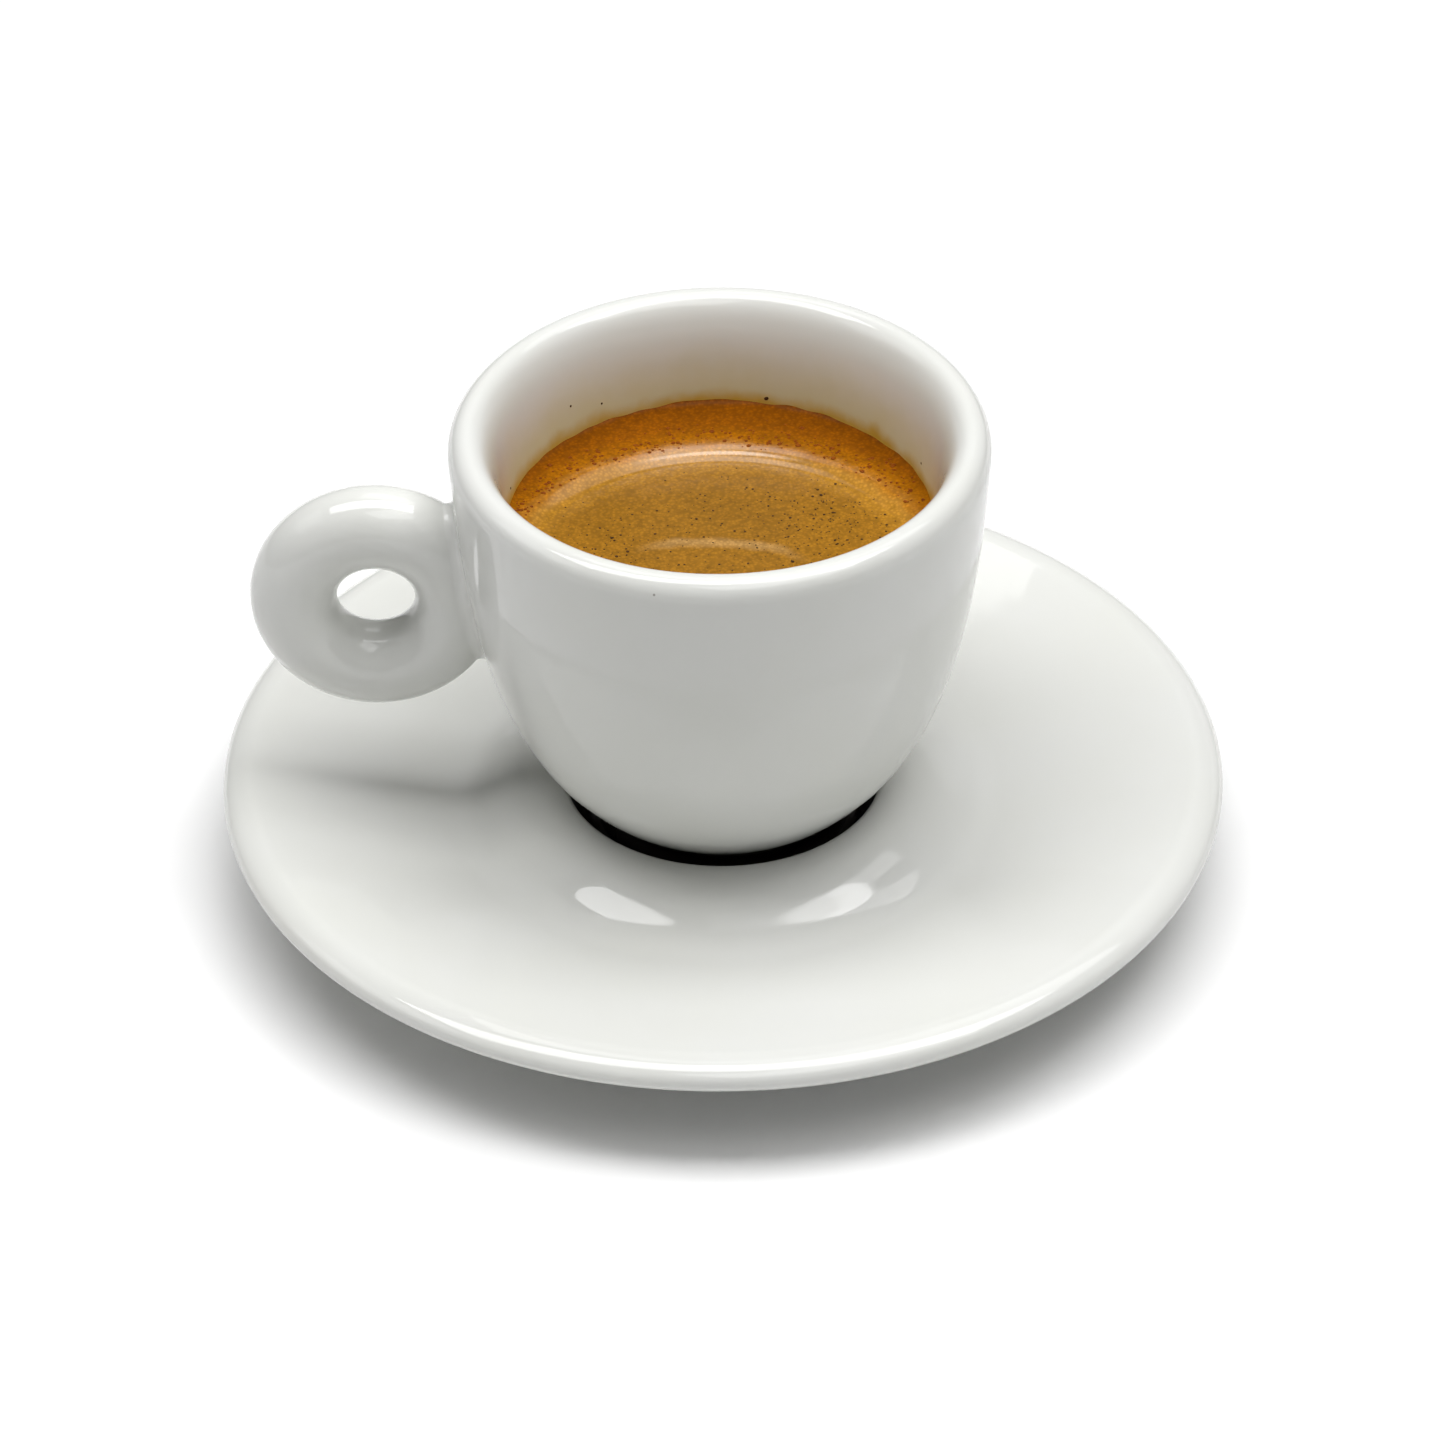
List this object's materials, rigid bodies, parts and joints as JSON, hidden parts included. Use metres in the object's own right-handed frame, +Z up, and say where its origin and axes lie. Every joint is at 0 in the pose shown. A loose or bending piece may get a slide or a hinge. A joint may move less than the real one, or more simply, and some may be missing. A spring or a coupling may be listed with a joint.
{
  "type": "espresso shot",
  "caption": "Espresso with crema in a thick white porcelain cup with a round ring handle, standing in the well of its saucer.",
  "frame": {"origin": "centre of the saucer's foot, on the surface that it stands on", "axes": "+Z up along the cup's axis, with the ring handle towards -X"},
  "size_m": [0.12, 0.12, 0.0621],
  "materials": {
    "saucer_porcelain": "glossy white glaze",
    "cup_porcelain": "glossy white glaze",
    "espresso": "wet golden-brown crema"
  },
  "bodies": {
    "root": {"saucer": "saucer_porcelain", "cup": "cup_porcelain", "espresso": "espresso"}
  },
  "joints": []
}
